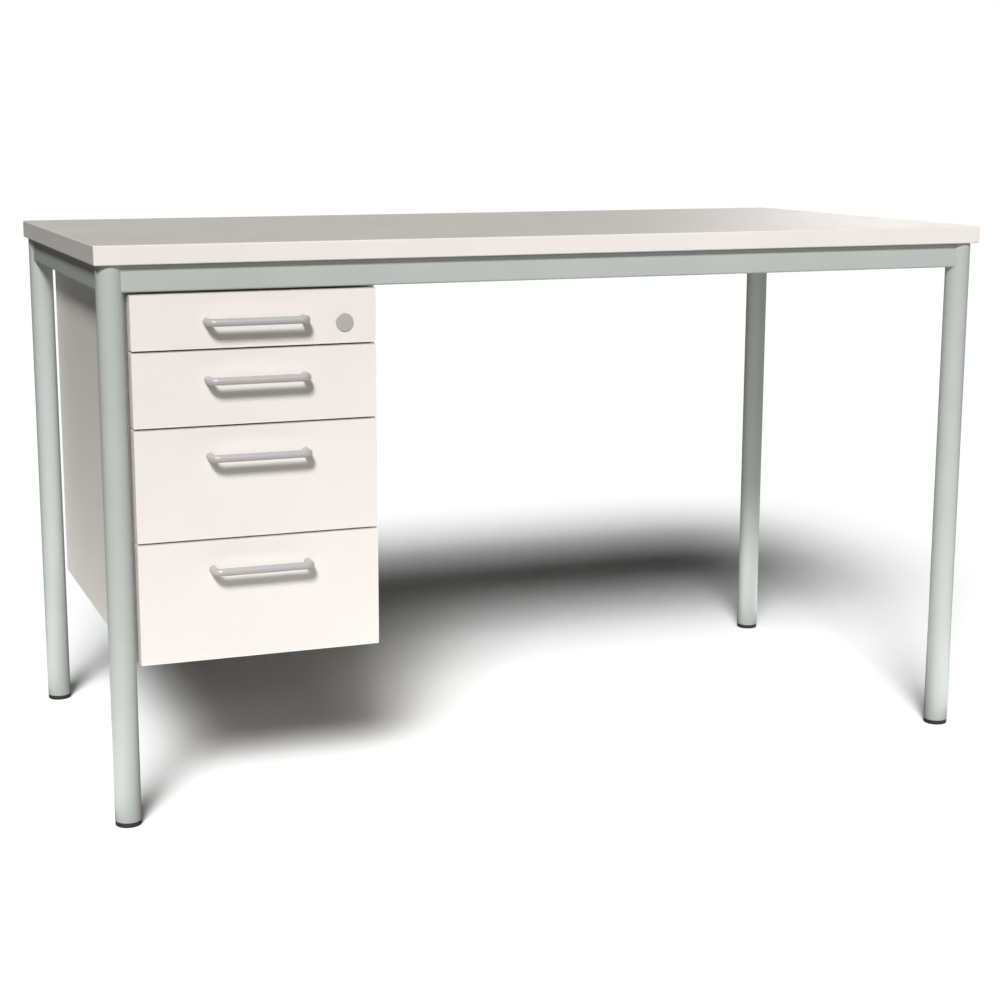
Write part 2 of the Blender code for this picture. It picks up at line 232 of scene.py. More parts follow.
def prism(outline, plane, w0, w1, edge=0.0):
    """An outline pushed through a thickness, its rims slightly broken."""
    bm = bmesh.new()
    n = len(outline)
    lo = [bm.verts.new(place(plane, a, b, w0)) for a, b in outline]
    hi = [bm.verts.new(place(plane, a, b, w1)) for a, b in outline]
    bm.faces.new(lo)
    bm.faces.new(hi)
    for i in range(n):
        j = (i + 1) % n
        bm.faces.new((lo[i], lo[j], hi[j], hi[i]))
    bmesh.ops.recalc_face_normals(bm, faces=bm.faces)
    if edge:
        rims = [e for e in bm.edges if (e.verts[0] in lo and e.verts[1] in lo)
                or (e.verts[0] in hi and e.verts[1] in hi)]
        bmesh.ops.bevel(bm, geom=rims, offset=edge, segments=2, profile=0.5,
                        affect="EDGES", clamp_overlap=True)
    return bm


def rect_loop(a0, a1, b0, b1, r, n=5):
    """Points of a rounded rectangle, the same count whatever its radius."""
    r = max(r, 0.00004)
    return (arc(a1 - r, b1 - r, r, 0, 90, n) + arc(a0 + r, b1 - r, r, 90, 180, n)
            + arc(a0 + r, b0 + r, r, 180, 270, n) + arc(a1 - r, b0 + r, r, 270, 360, n))


def loops(bm, rings, closed=True, caps=(False, False)):
    """Join rings of points with quads."""
    vr = [[bm.verts.new(p) for p in ring] for ring in rings]
    n = len(vr[0])
    pairs = list(zip(vr, vr[1:])) + ([(vr[-1], vr[0])] if closed else [])
    for a, b in pairs:
        for i in range(n):
            j = (i + 1) % n
            bm.faces.new((a[i], a[j], b[j], b[i]))
    if caps[0]:
        bm.faces.new(vr[0])
    if caps[1]:
        bm.faces.new(list(reversed(vr[-1])))
    return vr


def offset_rings(plane, rect, profile, corner, n=5):
    """Rings that follow a rectangle's edge: profile is (inset, height) pairs."""
    a0, a1, b0, b1 = rect
    return [[place(plane, a, b, w) for a, b in
             rect_loop(a0 + d, a1 - d, b0 + d, b1 - d, corner - d, n)] for d, w in profile]


def sweep(path, radius, seg=28, cap=0.0):
    """A round bar along a path of points, its ends flat with a small chamfer."""
    bm = bmesh.new()
    pts = [Vector(p) for p in path]
    n = len(pts)
    tang = [(pts[min(i + 1, n - 1)] - pts[max(i - 1, 0)]).normalized() for i in range(n)]
    up = Vector((0, 0, 1)) if abs(tang[0].z) < 0.9 else Vector((1, 0, 0))
    nrm = (up - tang[0] * up.dot(tang[0])).normalized()
    rings = []
    for i, p in enumerate(pts):
        t = tang[i]
        nrm = (nrm - t * nrm.dot(t)).normalized()
        bi = t.cross(nrm)
        rad = radius(i) if callable(radius) else radius
        rings.append([p + (nrm * math.cos(2 * math.pi * k / seg)
                           + bi * math.sin(2 * math.pi * k / seg)) * rad for k in range(seg)])
    if cap:
        for end, k in ((0, 1), (-1, -1)):
            c, t = pts[end], tang[end] * k
            ring = [c + (q - c) * (1 - cap / (q - c).length) for q in rings[end]]
            rings[end] = [q + t * cap for q in rings[end]]
            rings.insert(0 if end == 0 else len(rings), ring)
    loops(bm, rings, closed=False, caps=(True, True))
    return bm


def merge(bm, other):
    me = bpy.data.meshes.new("tmp")
    bmesh.ops.recalc_face_normals(other, faces=other.faces)
    other.to_mesh(me)
    other.free()
    bm.from_mesh(me)
    bpy.data.meshes.remove(me)
    return bm


# ---------------------------------------------------------------- materials


def srgb(r, g, b):
    def f(c):
        c /= 255
        return c / 12.92 if c <= 0.04045 else ((c + 0.055) / 1.055) ** 2.4
    return (f(r), f(g), f(b), 1.0)


class Look:
    """A procedural material: a Principled shader with layered noise."""

    def __init__(self, name, **sockets):
        self.m = bpy.data.materials.new(name)
        self.m.use_nodes = True
        self.t = self.m.node_tree
        self.b = self.t.nodes["Principled BSDF"]
        for k, v in sockets.items():
            self.b.inputs[k.replace("_", " ")].default_value = v
        tc = self.node("ShaderNodeTexCoord")
        self.co = tc.outputs["Object"]

    def node(self, kind, **props):
        n = self.t.nodes.new(kind)
        for k, v in props.items():
            setattr(n, k, v)
        return n

    def link(self, a, b):
        self.t.links.new(a, b)

    def mapped(self, scale):
        mp = self.node("ShaderNodeMapping")
        mp.inputs["Scale"].default_value = scale
        self.link(self.co, mp.inputs["Vector"])
        return mp.outputs["Vector"]

    def noise(self, scale, detail=2.0, rough=0.5, vector=None, distortion=0.0):
        n = self.node("ShaderNodeTexNoise")
        n.inputs["Scale"].default_value = scale
        n.inputs["Detail"].default_value = detail
        n.inputs["Roughness"].default_value = rough
        n.inputs["Distortion"].default_value = distortion
        self.link(vector or self.co, n.inputs["Vector"])
        return n.outputs["Fac"]

    def voronoi(self, scale, out="Distance", feature="F1"):
        n = self.node("ShaderNodeTexVoronoi", feature=feature)
        n.inputs["Scale"].default_value = scale
        self.link(self.co, n.inputs["Vector"])
        return n.outputs[out]

    def ramp(self, value, stops):
        n = self.node("ShaderNodeValToRGB")
        el = n.color_ramp.elements
        el[0].position, el[0].color = stops[0]
        el[1].position, el[1].color = stops[-1]
        for p, c in stops[1:-1]:
            e = el.new(p)
            e.color = c
        self.link(value, n.inputs["Fac"])
        return n.outputs["Color"]

    def remap(self, value, lo, hi, a=0.3, b=0.7):
        n = self.node("ShaderNodeMapRange")
        n.inputs["From Min"].default_value = a
        n.inputs["From Max"].default_value = b
        n.inputs["To Min"].default_value = lo
        n.inputs["To Max"].default_value = hi
        self.link(value, n.inputs["Value"])
        return n.outputs["Result"]

    def mix(self, kind, fac, a, b):
        n = self.node("ShaderNodeMix", data_type="RGBA", blend_type=kind)
        n.inputs["Factor"].default_value = fac
        self.link(a, n.inputs["A"])
        self.link(b, n.inputs["B"])
        return n.outputs["Result"]

    def colour(self, out):
        self.link(out, self.b.inputs["Base Color"])
        return self

    def rough(self, out):
        self.link(out, self.b.inputs["Roughness"])
        return self

    def bump(self, *layers):
        """Layers of (height output, distance in metres, strength)."""
        last = None
        for h, dist, strength in layers:
            n = self.node("ShaderNodeBump")
            n.inputs["Strength"].default_value = strength
            n.inputs["Distance"].default_value = dist
            self.link(h, n.inputs["Height"])
            if last is not None:
                self.link(last, n.inputs["Normal"])
            last = n.outputs["Normal"]
        self.link(last, self.b.inputs["Normal"])
        return self


def tint(c, k):
    return (min(1, c[0] * k), min(1, c[1] * k), min(1, c[2] * k), 1.0)


def melamine(name, base, rough=0.42, pearl=0.00003):
    """Laminated chipboard: a smooth printed paper under resin, with a fine pearl
    emboss, faint cloudy unevenness and a few paper fibres."""
    k = Look(name, Roughness=rough)
    cloud = k.noise(5.0, 4.0, 0.6)
    fleck = k.noise(900.0, 2.0, 0.7)
    fibre = k.noise(60.0, 6.0, 0.75, k.mapped((1.0, 6.0, 6.0)))
    c = k.mix("MULTIPLY", 1.0, k.ramp(cloud, [(0.35, tint(base, 0.985)), (0.65, tint(base, 1.012))]),
              k.ramp(fleck, [(0.25, (0.965, 0.96, 0.955, 1)), (0.5, (1, 1, 1, 1)), (0.8, (1, 1, 1, 1))]))
    c = k.mix("MULTIPLY", 0.6, c, k.ramp(fibre, [(0.30, (0.97, 0.965, 0.96, 1)), (0.42, (1, 1, 1, 1)), (1, (1, 1, 1, 1))]))
    k.colour(c)
    k.rough(k.remap(k.noise(35.0, 5.0, 0.6), rough - 0.05, rough + 0.06))
    k.bump((k.noise(1400.0, 3.0, 0.6), pearl, 0.6), (k.noise(7.0, 2.0), 0.00008, 0.25))
    return k.m


def abs_band(name, base):
    """Extruded edge band: a little smoother than the face, with light handling marks."""
    k = Look(name, Roughness=0.40)
    c = k.mix("MULTIPLY", 1.0, k.ramp(k.noise(9.0, 4.0), [(0.3, tint(base, 0.98)), (0.7, tint(base, 1.01))]),
              k.ramp(k.noise(420.0, 2.0), [(0.2, (0.975, 0.972, 0.968, 1)), (0.5, (1, 1, 1, 1))]))
    k.colour(c)
    k.rough(k.remap(k.noise(120.0, 4.0, 0.65), 0.34, 0.47))
    k.bump((k.noise(700.0, 2.0, 0.5), 0.00002, 0.5), (k.noise(30.0, 2.0), 0.00004, 0.3))
    return k.m


def powder(name, base, peel=0.00005, rough=0.42, scale=520.0):
    """Baked powder coat over steel: orange peel, tiny pin specks, slightly uneven gloss."""
    k = Look(name, Roughness=rough)
    cloud = k.ramp(k.noise(12.0, 4.0, 0.6), [(0.3, tint(base, 0.975)), (0.7, tint(base, 1.02))])
    speck = k.ramp(k.noise(1700.0, 1.0, 0.5), [(0.22, (0.90, 0.90, 0.90, 1)), (0.36, (1, 1, 1, 1))])
    k.colour(k.mix("MULTIPLY", 0.8, cloud, speck))
    k.rough(k.remap(k.noise(90.0, 4.0, 0.6), rough - 0.06, rough + 0.07))
    k.bump((k.noise(scale, 2.0, 0.45), peel, 0.7), (k.noise(scale * 4, 2.0, 0.5), peel * 0.2, 0.5))
    return k.m


def zinc(name, base=(0.58, 0.585, 0.59, 1), rough=0.34):
    """Bright zinc-plated steel: cloudy plating, rolling lines and small scuffs."""
    k = Look(name, Metallic=1.0, Roughness=rough)
    cells = k.voronoi(260.0, "Color")
    grey = k.node("ShaderNodeRGBToBW")
    k.link(cells, grey.inputs["Color"])
    c = k.mix("MULTIPLY", 1.0, k.ramp(grey.outputs["Val"], [(0.2, tint(base, 0.93)), (0.8, tint(base, 1.05))]),
              k.ramp(k.noise(40.0, 4.0, 0.7), [(0.3, (0.93, 0.93, 0.94, 1)), (0.7, (1, 1, 1, 1))]))
    k.colour(c)
    lines = k.noise(900.0, 2.0, 0.6, k.mapped((1.0, 0.02, 1.0)))
    k.rough(k.remap(k.noise(160.0, 5.0, 0.7), rough - 0.08, rough + 0.12))
    k.bump((lines, 0.00001, 0.5), (k.noise(300.0, 3.0), 0.00002, 0.35))
    return k.m


def satin(name, base, rough=0.40, metal=0.25):
    """Silver-grey lacquer over metal: fine metallic grain and a soft sheen."""
    k = Look(name, Metallic=metal, Roughness=rough)
    flake = k.ramp(k.noise(2600.0, 2.0, 0.6), [(0.25, tint(base, 0.90)), (0.5, base), (0.78, tint(base, 1.07))])
    cloud = k.ramp(k.noise(45.0, 3.0, 0.6), [(0.3, (0.97, 0.97, 0.97, 1)), (0.7, (1, 1, 1, 1))])
    k.colour(k.mix("MULTIPLY", 1.0, flake, cloud))
    k.rough(k.remap(k.noise(150.0, 4.0, 0.6), rough - 0.05, rough + 0.07))
    k.bump((k.noise(1500.0, 2.0, 0.5), 0.000012, 0.5), (k.noise(120.0, 2.0), 0.00003, 0.25))
    return k.m


def plastic(name, base, rough=0.5):
    """Moulded glide plastic: fine spark-eroded grain, dust-dulled in random patches."""
    k = Look(name, Roughness=rough)
    k.colour(k.ramp(k.noise(300.0, 4.0, 0.7), [(0.3, tint(base, 0.8)), (0.7, tint(base, 1.35))]))
    k.rough(k.remap(k.noise(500.0, 3.0, 0.6), rough - 0.08, rough + 0.12))
    k.bump((k.noise(1600.0, 2.0, 0.6), 0.00004, 0.6))
    return k.m


WHITE_C = (0.835, 0.792, 0.745, 1.0)
FRAME_C = (0.470, 0.500, 0.472, 1.0)
TOP = melamine("melamine_top", WHITE_C, rough=0.40)
WHITE = melamine("melamine_white", WHITE_C, rough=0.45)
BAND = abs_band("edge_band_white", (0.85, 0.805, 0.758, 1.0))
FRAME = powder("powder_coat_grey", FRAME_C)
STEEL = powder("drawer_steel", (0.60, 0.61, 0.61, 1.0), peel=0.00003, rough=0.45, scale=800.0)
ZINC = zinc("zinc_steel")
SILVER = satin("handle_silver", (0.515, 0.501, 0.490, 1.0), rough=0.46, metal=0.20)
NICKEL = satin("lock_nickel", (0.505, 0.488, 0.477, 1.0), rough=0.48, metal=0.20)
PLASTIC = plastic("glide_plastic", (0.040, 0.040, 0.041, 1.0))

# --------------------------------------------------- tabletop and edge band
SEAM = 0.00004


def banded_board(node, rect, plane, w0, w1, t, arris, corner, mats, body, cutters=(),
                 band_node=None, band_name=None):
    """A board with a glued edge band all round: a core with crisp, just broken
    edges, and a band with rounded arrises."""
    a0, a1, b0, b1 = rect
    c = 0.00012
    sgn = 1 if w1 > w0 else -1
    d = t + SEAM
    core = bmesh.new()
    loops(core, offset_rings(plane, rect, [(d + c * 3, w1), (d + c, w1 - 0.00002), (d, w1 - c),
                                           (d, w0 + c), (d + c, w0 + 0.00002), (d + c * 3, w0)],
                             d + 0.0002, 3), closed=False, caps=(True, True))
    if cutters:
        core = boolean(core, cutters)
    core_ob = finish_mesh(node, core, mats[0], body, node)
    band = bmesh.new()
    prof = [(t, w1 - c), (t - c, w1)]
    prof += [(arris - arris * math.sin(math.radians(x)), w1 - arris + arris * math.cos(math.radians(x)))
             for x in range(0, 91, 15)]
    prof += [(arris - arris * math.cos(math.radians(x)), w0 + arris - arris * math.sin(math.radians(x)))
             for x in range(0, 91, 15)]
    prof += [(t - c, w0), (t, w0 + c)]
    loops(band, offset_rings(plane, rect, prof, corner, 6))
    band_ob = finish_mesh(band_name or (node + "_edging"), band, mats[1], body, band_node, angle=60)
    return core_ob, band_ob


blo, bhi = B("edge_band")
tlo, thi = B("tabletop")
UNDER = tlo.z
for n in ("tabletop", "edge_band"):
    pass
top_cut = []
for n in [s for s in frame["nodes"] if "_screw_" in s]:
    slo, shi = B(n)
    c = (slo + shi) / 2
    top_cut.append(lathe([(0, UNDER - 0.01), (0.0028, UNDER - 0.01), (0.0028, shi.z + 0.0004), (0, shi.z + 0.0004)],
                         (c.x, c.y, 0), "Z", 20))
tabletop, edge_band = banded_board(
    "tabletop", (blo.x, bhi.x, blo.y, bhi.y), "XY", blo.z, bhi.z, 0.0020, 0.0017, 0.0026,
    (TOP, BAND), "desk", top_cut, "edge_band", "edge_band")

# ----------------------------------------------------------- legs and glides
LEGS = {}
for side in ("front_left", "front_right", "back_left", "back_right"):
    lo, hi = B("leg_" + side)
    c = (lo + hi) / 2
    R = (hi.x - lo.x) / 2
    LEGS[side] = (c.x, c.y, R)
    bore, e = R - 0.0015, 0.0003
    prof = [(R - e, hi.z), (R, hi.z - e), (R, lo.z + e), (R - e, lo.z),
            (bore + e, lo.z), (bore, lo.z + e), (bore, hi.z - e), (bore + e, hi.z)]
    finish_mesh("leg_" + side, lathe(prof, (c.x, c.y, 0), "Z", 88, closed=True), FRAME, "desk",
                "leg_" + side, angle=30)
    # glide: moulded foot with a shadow groove under the tube and a rounded rim
    glo, ghi = B("glide_" + side)
    g = R - 0.0002
    h = 0.0063
    prof = [(0, ghi.z), (bore - 0.0022, ghi.z), (bore - 0.0006, ghi.z - 0.002),
            (bore - 0.0005, h + 0.0002), (bore - 0.0005, h), (g - 0.0006, h), (g - 0.0001, h - 0.0004),
            (g, h - 0.0010), (g, 0.0024)]
    prof += [(g - 0.0016 + 0.0016 * math.cos(math.radians(a)), 0.0016 - 0.0016 * math.sin(math.radians(a)))
             for a in range(15, 91, 15)]
    prof += [(g - 0.0050, 0.0), (g - 0.0056, 0.0003), (g - 0.0070, 0.0003), (g - 0.0076, 0.0), (0, 0.0)]
    finish_mesh("glide_" + side, lathe(prof, (c.x, c.y, 0), "Z", 72), PLASTIC, "desk",
                "glide_" + side, angle=35)

# --------------------------------------------------------------------- rails


def rail(node, axis, ends):
    lo, hi = B(node)
    r, wall = 0.0026, 0.0020
    k = 0 if axis == "X" else 1
    o = 1 - k
    mid = (lo[o] + hi[o]) / 2
    t0, t1, z0, z1 = lo[o] - mid, hi[o] - mid, lo.z, hi.z

    def section(inset, rad):
        pts = []
        a0, a1, b0, b1 = t0 + inset, t1 - inset, z0 + inset, z1 - inset
        corner = [(a1 - rad, b1 - rad, 0), (a0 + rad, b1 - rad, 90), (a0 + rad, b0 + rad, 180), (a1 - rad, b0 + rad, 270)]
        for i, (cx, cz, a) in enumerate(corner):
            q = arc(cx, cz, rad, a, a + 90, 5)
            pts += q
            nx, nz, na = corner[(i + 1) % 4]
            nxt = arc(nx, nz, rad, na, na + 90, 5)[0]
            steps = 10 if i in (0, 2) else 3
            for s in range(1, steps):
                f = s / steps
                pts.append((q[-1][0] * (1 - f) + nxt[0] * f, q[-1][1] * (1 - f) + nxt[1] * f))
        return pts

    outer, inner = section(0.0, r), section(wall, 0.0008)
    legs = [LEGS[e] for e in ends]
    c0, c1 = sorted(l[k] for l in legs)
    R = legs[0][2] + 0.0002

    def pt(end, a, z):
        reach = math.sqrt(max(R * R - a * a, 0))
        s = c0 + reach if end == 0 else c1 - reach
        p = [0, 0, z]
        p[k], p[o] = s, mid + a
        return Vector(p)

    # outer, inner and the ring at each end
    rings = [[pt(0, a, z) for a, z in inner], [pt(0, a, z) for a, z in outer],
             [pt(1, a, z) for a, z in outer], [pt(1, a, z) for a, z in inner]]
    bm = bmesh.new()
    loops(bm, rings)
    # weld bead round the sides and the underside of each end
    Rl = legs[0][2]
    w = 0.0011
    for end, centre in ((0, c0), (1, c1)):
        path = []
        side = [(t1, z1 - 0.003)] + [(t1, z1 - 0.003 - (z1 - z0 - 0.003 - r) * i / 8) for i in range(1, 9)]
        side += arc(t1 - r, z0 + r, r, 0, -90, 5)[1:]
        side += [(t1 - r - (t1 - t0 - 2 * r) * i / 8, z0) for i in range(1, 8)]
        side += arc(t0 + r, z0 + r, r, 270, 180, 5)
        side += [(t0, z0 + r + (z1 - z0 - 0.003 - r) * i / 8) for i in range(1, 9)]
        for a, z in side:
            reach = math.sqrt(max(Rl * Rl - a * a, 0))
            p = [0, 0, z]
            p[k] = centre + reach + w * 0.25 if end == 0 else centre - reach - w * 0.25
            p[o] = mid + a * (1 + w * 0.0)
            path.append(Vector(p))
        n = len(path)
        bead = sweep(path, lambda i: w * (0.55 + 0.45 * math.sin(math.pi * min(i, n - 1 - i, 3) / 6)), 10)
        merge(bm, bead)
    return bm, z0, z1, wall


for node, axis, ends in (("rail_front", "X", ("front_left", "front_right")),
                         ("rail_back", "X", ("back_left", "back_right")),
                         ("rail_left", "Y", ("front_left", "back_left")),
                         ("rail_right", "Y", ("front_right", "back_right"))):
    bm, z0, z1, wall = rail(node, axis, ends)
    row = node.split("_")[1]
    cuts = []
    if axis == "X":
        for col in ("left", "right"):
            slo, shi = B("top_screw_%s_%s" % (row, col))
            c = (slo + shi) / 2
            cuts.append(lathe([(0, z1 - 0.006), (0.0028, z1 - 0.006), (0.0028, z1 + 0.01), (0, z1 + 0.01)],
                              (c.x, c.y, 0), "Z", 24))
            cuts.append(lathe([(0, z0 - 0.006), (0.006, z0 - 0.006), (0.006, z0 + 0.008), (0, z0 + 0.008)],
                              (c.x, c.y, 0), "Z", 40))
    if cuts:
        bm = boolean(bm, cuts)
    finish_mesh(node, bm, FRAME, "desk", node, angle=35)

# -------------------------------------------------------------------- screws


def pan_screw(head_r, head_h, shank_r, length, tip=0.004):
    """Pan-head screw with a cross recess, its seat at height 0 and its point up."""
    prof = [(0, -head_h)] + [(head_r * math.sin(math.radians(a)) * 0.98,
                              -head_h * (0.25 + 0.75 * math.cos(math.radians(a)))) for a in (25, 45, 60, 75, 88)]
    prof += [(head_r, -head_h * 0.1), (head_r, 0), (shank_r, 0)]
    pitch = 0.0011
    z = 0.002
    while z < length - tip:
        prof += [(shank_r * 0.74, z), (shank_r, z + pitch * 0.5)]
        z += pitch
    prof += [(shank_r * 0.74, length - tip), (shank_r * 0.2, length - 0.0005), (0, length)]
    bm = lathe(prof, (0, 0, 0), "Z", 28)
    w, d = head_r * 0.22, head_h * 0.75
    arm = head_r * 0.62
    cut = [rbox((-arm, -w / 2, -head_h * 1.5), (arm, w / 2, -head_h + d), 0),
           rbox((-w / 2, -arm, -head_h * 1.5), (w / 2, arm, -head_h + d), 0)]
    return boolean(bm, cut)


screw_me = bpy.data.meshes.new("wood_screw")
_b = pan_screw(0.0046, 0.0026, 0.0024, 1.0 and 0.0143)
_b.to_mesh(screw_me)
_b.free()
for n in sorted(s for s in frame["nodes"] if "_screw_" in s):
    lo, hi = B(n)
    c = (lo + hi) / 2
    bm = to_bm(screw_me)
    seat = lo.z + 0.0026
    k = (hi.z - seat) / 0.0143
    for v in bm.verts:
        z = v.co.z * k if v.co.z > 0 else v.co.z
        v.co = Vector((c.x + v.co.x, c.y + v.co.y, seat + z))
    finish_mesh(n, bm, ZINC, "desk", n, angle=30, weighted=False)

# ------------------------------------------------------------- pedestal case
clo, chi = B("case_side_left")
rlo, rhi = B("rail_front")
NOTCH_Y, NOTCH_Z = rhi.y + 0.0005, rlo.z - 0.0005
for node in ("case_side_left", "case_side_right"):
    lo, hi = B(node)
    out = [(lo.y, lo.z), (hi.y, lo.z), (hi.y, hi.z), (NOTCH_Y, hi.z), (NOTCH_Y, NOTCH_Z), (lo.y, NOTCH_Z)]
    bm = prism(fillet(out, [0.0006, 0.0006, 0.0003, 0.0003, 0.0003, 0.0006], 3), "YZ", lo.x, hi.x, 0.0005)
    finish_mesh(node, bm, WHITE, "desk", node)
for node in ("case_back", "case_bottom", "case_top"):
    lo, hi = B(node)
    bm = rbox(lo, hi, 0.0005, 2)
    if node == "case_top":
        cuts = []
        for n in sorted(s for s in frame["nodes"] if s.startswith("case_screw")):
            slo, shi = B(n)
            c = (slo + shi) / 2
            cuts.append(lathe([(0, lo.z - 0.01), (0.0028, lo.z - 0.01), (0.0028, hi.z + 0.01), (0, hi.z + 0.01)],
                              (c.x, c.y, 0), "Z", 24))
        bm = boolean(bm, cuts)
    finish_mesh(node, bm, WHITE, "desk", node)

lo, hi = B("lock_strike_rail")
t = 0.0015
out = [(lo.y, lo.z), (lo.y + t, lo.z), (lo.y + t, hi.z - t), (hi.y, hi.z - t), (hi.y, hi.z), (lo.y, hi.z)]
finish_mesh("lock_strike_rail", prism(fillet(out, [0.0006, 0.0006, 0.0012, 0.0006, 0.0006, 0.0027], 6), "YZ",
                                      lo.x, hi.x, 0.0002), STEEL, "desk", "lock_strike_rail")

# ------------------------------------------------------------------- drawers
FACE = B("drawer_1_front")[0].y
flo, fhi = B("lock_housing")
LOCK = Vector(((flo.x + fhi.x) / 2, flo.y, (flo.z + fhi.z) / 2))


def tray(lo, hi, cutters):
    """Folded steel tray: rounded bends, and a hem turned in along the rim."""
    s, R = 0.0010, 0.0034
    hem, depth = 0.0022, 0.0080
    z0, z1 = lo.z, hi.z
    prof = [(R, z0)] + [(R - R * math.sin(math.radians(a)), z0 + R - R * math.cos(math.radians(a)))
                        for a in range(15, 91, 15)]
    hr = hem / 2
    prof += [(hr - hr * math.cos(math.radians(a)), z1 - hr + hr * math.sin(math.radians(a)))
             for a in range(0, 181, 20)]
    prof += [(hem, z1 - depth + 0.0004), (hem - 0.0004, z1 - depth), (s + 0.0003, z1 - depth), (s, z1 - depth - 0.0003)]
    ri = R - s
    prof += [(s + ri - ri * math.cos(math.radians(a)), z0 + s + ri - ri * math.sin(math.radians(a)))
             for a in range(0, 91, 15)]
    bm = bmesh.new()
    loops(bm, offset_rings("XY", (lo.x, hi.x, lo.y, hi.y), prof, R, 5), closed=False, caps=(True, True))
    if cutters:
        bm = boolean(bm, cutters)
    return bm


def bar_handle(node):
    lo, hi = B(node)
    r = 0.005
    x0, x1 = lo.x + r, hi.x - r
    y0, y1 = hi.y, lo.y + r
    z = (lo.z + hi.z) / 2
    b, n = 0.008, 14
    pts = [(x0, y0, z), (x0, y0 - 0.0006, z), (x0, y1 + b, z)]
    pts += [(x0 + b - b * math.cos(math.pi / 2 * i / n), y1 + b - b * math.sin(math.pi / 2 * i / n), z)
            for i in range(1, n + 1)]
    pts += [(x1 - b + b * math.sin(math.pi / 2 * i / n), y1 + b - b * math.cos(math.pi / 2 * i / n), z)
            for i in range(n + 1)]
    pts += [(x1, y0 - 0.0006, z), (x1, y0, z)]
    return sweep(pts, r, 40, 0.0002)


def channel(depth, half, wall, lip, r):
    """A rolled C section, open towards +a, its bends rounded."""
    if lip:
        pts = [(0, -half), (depth, -half), (depth, -half + lip), (depth - wall, -half + lip),
               (depth - wall, -half + wall), (wall, -half + wall)]
        rad = [r + wall, r + wall, 0.0003, 0.0003, r, r]
    else:
        pts = [(0, -half), (depth, -half), (depth, -half + wall), (wall, -half + wall)]
        rad = [r + wall, 0.0004, 0.0004, r]
    pts, rad = pts + [(a, -b) for a, b in reversed(pts)], rad + list(reversed(rad))
    return fillet(pts, rad, 4)


def csk_screw(c, sx, r=0.0034):
    """Countersunk head in a slide's web; sx is the way it faces along X."""
    h = 0.0011
    prof = [(0, 0.0), (r * 0.9, 0.0), (r, -0.0002), (r * 0.55, -h), (0, -h)]
    bm = lathe(prof, (0, 0, 0), "Z", 24)
    arm, w = r * 0.6, r * 0.2
    bm = boolean(bm, [rbox((-arm, -w / 2, -0.0006), (arm, w / 2, 0.001), 0), rbox((-w / 2, -arm, -0.0006), (w / 2, arm, 0.001), 0)])
    for v in bm.verts:
        v.co = Vector(c) + Vector((sx * v.co.z, v.co.x, v.co.y))
    return bm


for i in range(1, 5):
    body = "drawer_%d" % i
    name = "drawer_%d_front" % i
    lo, hi = B(name)
    hole = []
    if i == 1:
        hole = [lathe([(0, 0.004), (0.0095, 0.004), (0.0095, -0.030), (0, -0.030)],
                      (LOCK.x, FACE, LOCK.z), "Y", 48)]
    banded_board(name, (lo.x, hi.x, lo.z, hi.z), "XZ", hi.y, lo.y, 0.0010, 0.0007, 0.0014,
                 (WHITE, BAND), body, hole)

    name = "drawer_%d_box" % i
    blo_, bhi_ = B(name)
    cut = []
    if i == 1:
        cut = [lathe([(0, 0.004), (0.0095, 0.004), (0.0095, -0.030), (0, -0.030)],
                     (LOCK.x, FACE, LOCK.z), "Y", 48)]
    finish_mesh(name, tray(blo_, bhi_, cut), STEEL, body, name, angle=45)

    name = "drawer_%d_handle" % i
    finish_mesh(name, bar_handle(name), SILVER, body, name, angle=60)
    hlo, hhi = B(name)
    # the handle's two screws, seen from inside the drawer
    for side, hx in (("left", hlo.x + 0.005), ("right", hhi.x - 0.005)):
        bm = pan_screw(0.0040, 0.0022, 0.0019, 0.0100)
        for v in bm.verts:
            v.co = Vector((hx + v.co.x, blo_.y + 0.0010 - v.co.z + 0.00001, (hlo.z + hhi.z) / 2 + v.co.y))
        finish_mesh("drawer_%d_handle_screw_%s" % (i, side), bm, ZINC, body, None, angle=30, weighted=False)

    for side, s in (("left", 1), ("right", -1)):
        for part, lip in (("fixed", 0.0030), ("moving", 0.0)):
            node = "slide_%d_%s_%s" % (i, side, part)
            lo, hi = B(node)
            half, z = (hi.z - lo.z) / 2, (hi.z + lo.z) / 2
            depth = hi.x - lo.x
            flip = s if part == "fixed" else -s
            x0 = lo.x if flip > 0 else hi.x
            out = [(x0 + flip * a, z + b) for a, b in channel(depth, half, 0.0012, lip, 0.0008)]
            bm = prism(out, "XZ", lo.y, hi.y, 0.0001)
            cuts, screws = [], []
            ys = (lo.y + 0.030, lo.y + 0.160, lo.y + 0.330, lo.y + 0.470)
            for q, y in enumerate(ys):
                a, b = (0.0042, 0.0024) if q in (0, 3) else (0.0075, 0.0024)
                yy = y + (0.016 if part == "moving" else 0)
                slot_ = rect_loop(yy - a - 0.006, yy + a - 0.006, z - b, z + b, b, 6)
                cuts.append(prism(slot_, "YZ", x0 - 0.002, x0 + 0.004, 0) if True else None)
                screws.append((x0 + flip * 0.00135, y + 0.008, z))
            bm = boolean(bm, cuts)
            for c in screws[::2]:
                merge(bm, csk_screw(c, flip))
            who = "desk" if part == "fixed" else body
            finish_mesh(node, bm, ZINC, who, node, angle=35)

